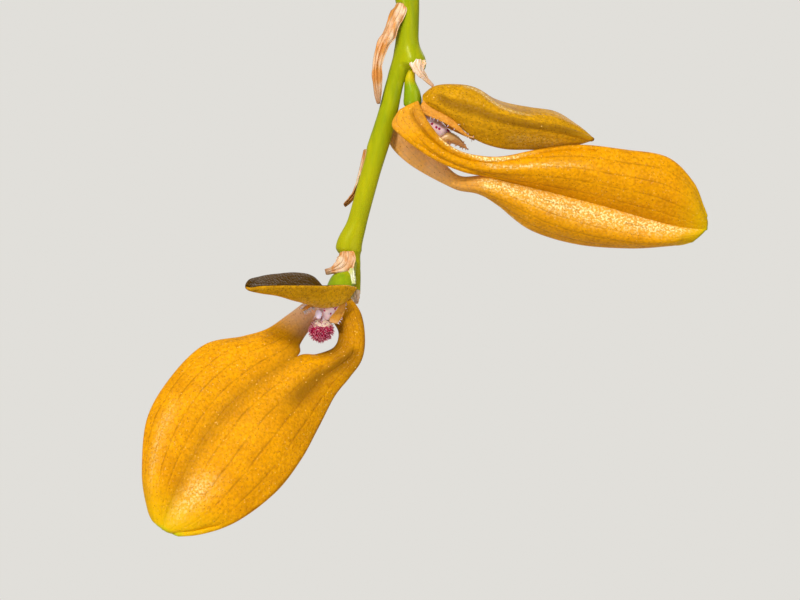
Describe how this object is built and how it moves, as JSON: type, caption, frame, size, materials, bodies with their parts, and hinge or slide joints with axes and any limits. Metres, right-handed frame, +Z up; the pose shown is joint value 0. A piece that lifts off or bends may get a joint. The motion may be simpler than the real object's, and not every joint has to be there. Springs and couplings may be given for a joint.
{
  "type": "potted bulbophyllum refractum orchid",
  "caption": "Potted tropical orchid: a clay pot of bark, ringed rhizome, egg-shaped pseudobulbs, leathery leaves and a bent, hanging spike of long orange-yellow flowers.",
  "frame": {"origin": "centre of the pot's flat base, on the surface that it stands on", "axes": "+Z up out of the pot; the flower spike arches over the rim towards -X and its flowers face -Y; +X completes the right-handed frame"},
  "size_m": [0.2464, 0.1696, 0.2897],
  "materials": {
    "terracotta": "unglazed fired clay, matt, dusty, with pale lime bloom",
    "bark": "rough brown pine-bark chips",
    "rhizome": "dry, ringed, straw-brown skin with pale wiry roots",
    "pseudobulb": "smooth waxy green skin over shallow ribs",
    "leaf": "leathery, waxy, satin green with a sunken midrib",
    "green_stem": "smooth yellow-green skin, lightly glossy, finely dotted",
    "dry_bract": "papery, dried, tan to pinkish with brown streaks",
    "lateral_sepal": "fleshy, finely papillose orange-yellow with darker veins and red-brown specks",
    "dorsal_sepal": "fleshy olive-ochre with fine brown speckles",
    "petal": "thin, pink-orange, fringed with fine hairs",
    "column": "waxy pinkish white with crimson spots",
    "lip": "velvety crimson and cream papillae"
  },
  "bodies": {
    "root": {"pot": "terracotta", "potting_mix": "bark", "rhizome": "rhizome", "pseudobulb_1": "pseudobulb", "pseudobulb_2": "pseudobulb", "pseudobulb_3": "pseudobulb", "pseudobulb_4": "pseudobulb", "pseudobulb_5": "pseudobulb", "pseudobulb_6": "pseudobulb", "pseudobulb_7": "pseudobulb", "leaf_1": "leaf", "leaf_2": "leaf", "leaf_3": "leaf", "leaf_4": "leaf", "leaf_5": "leaf", "leaf_6": "leaf", "flower_stem": "green_stem", "stem_sheath_1": "dry_bract", "stem_sheath_2": "dry_bract", "stem_sheath_3": "dry_bract", "flower_1_ovary": "green_stem", "flower_1_column": "column", "flower_1_lateral_sepals": "lateral_sepal", "flower_1_dorsal_sepal": "dorsal_sepal", "flower_1_lip": "lip", "flower_1_petal_left": "petal", "flower_1_petal_right": "petal", "flower_2_ovary": "green_stem", "flower_2_column": "column", "flower_2_lateral_sepals": "lateral_sepal", "flower_2_dorsal_sepal": "dorsal_sepal", "flower_2_lip": "lip", "flower_2_petal_left": "petal", "flower_2_petal_right": "petal", "bract_1": "dry_bract", "bract_2": "dry_bract", "bract_3": "dry_bract", "bract_4": "dry_bract", "bract_5": "dry_bract", "bract_6": "dry_bract", "bract_7": "dry_bract", "bract_8": "dry_bract", "bract_9": "dry_bract", "bract_10": "dry_bract", "bract_11": "dry_bract"}
  },
  "joints": []
}
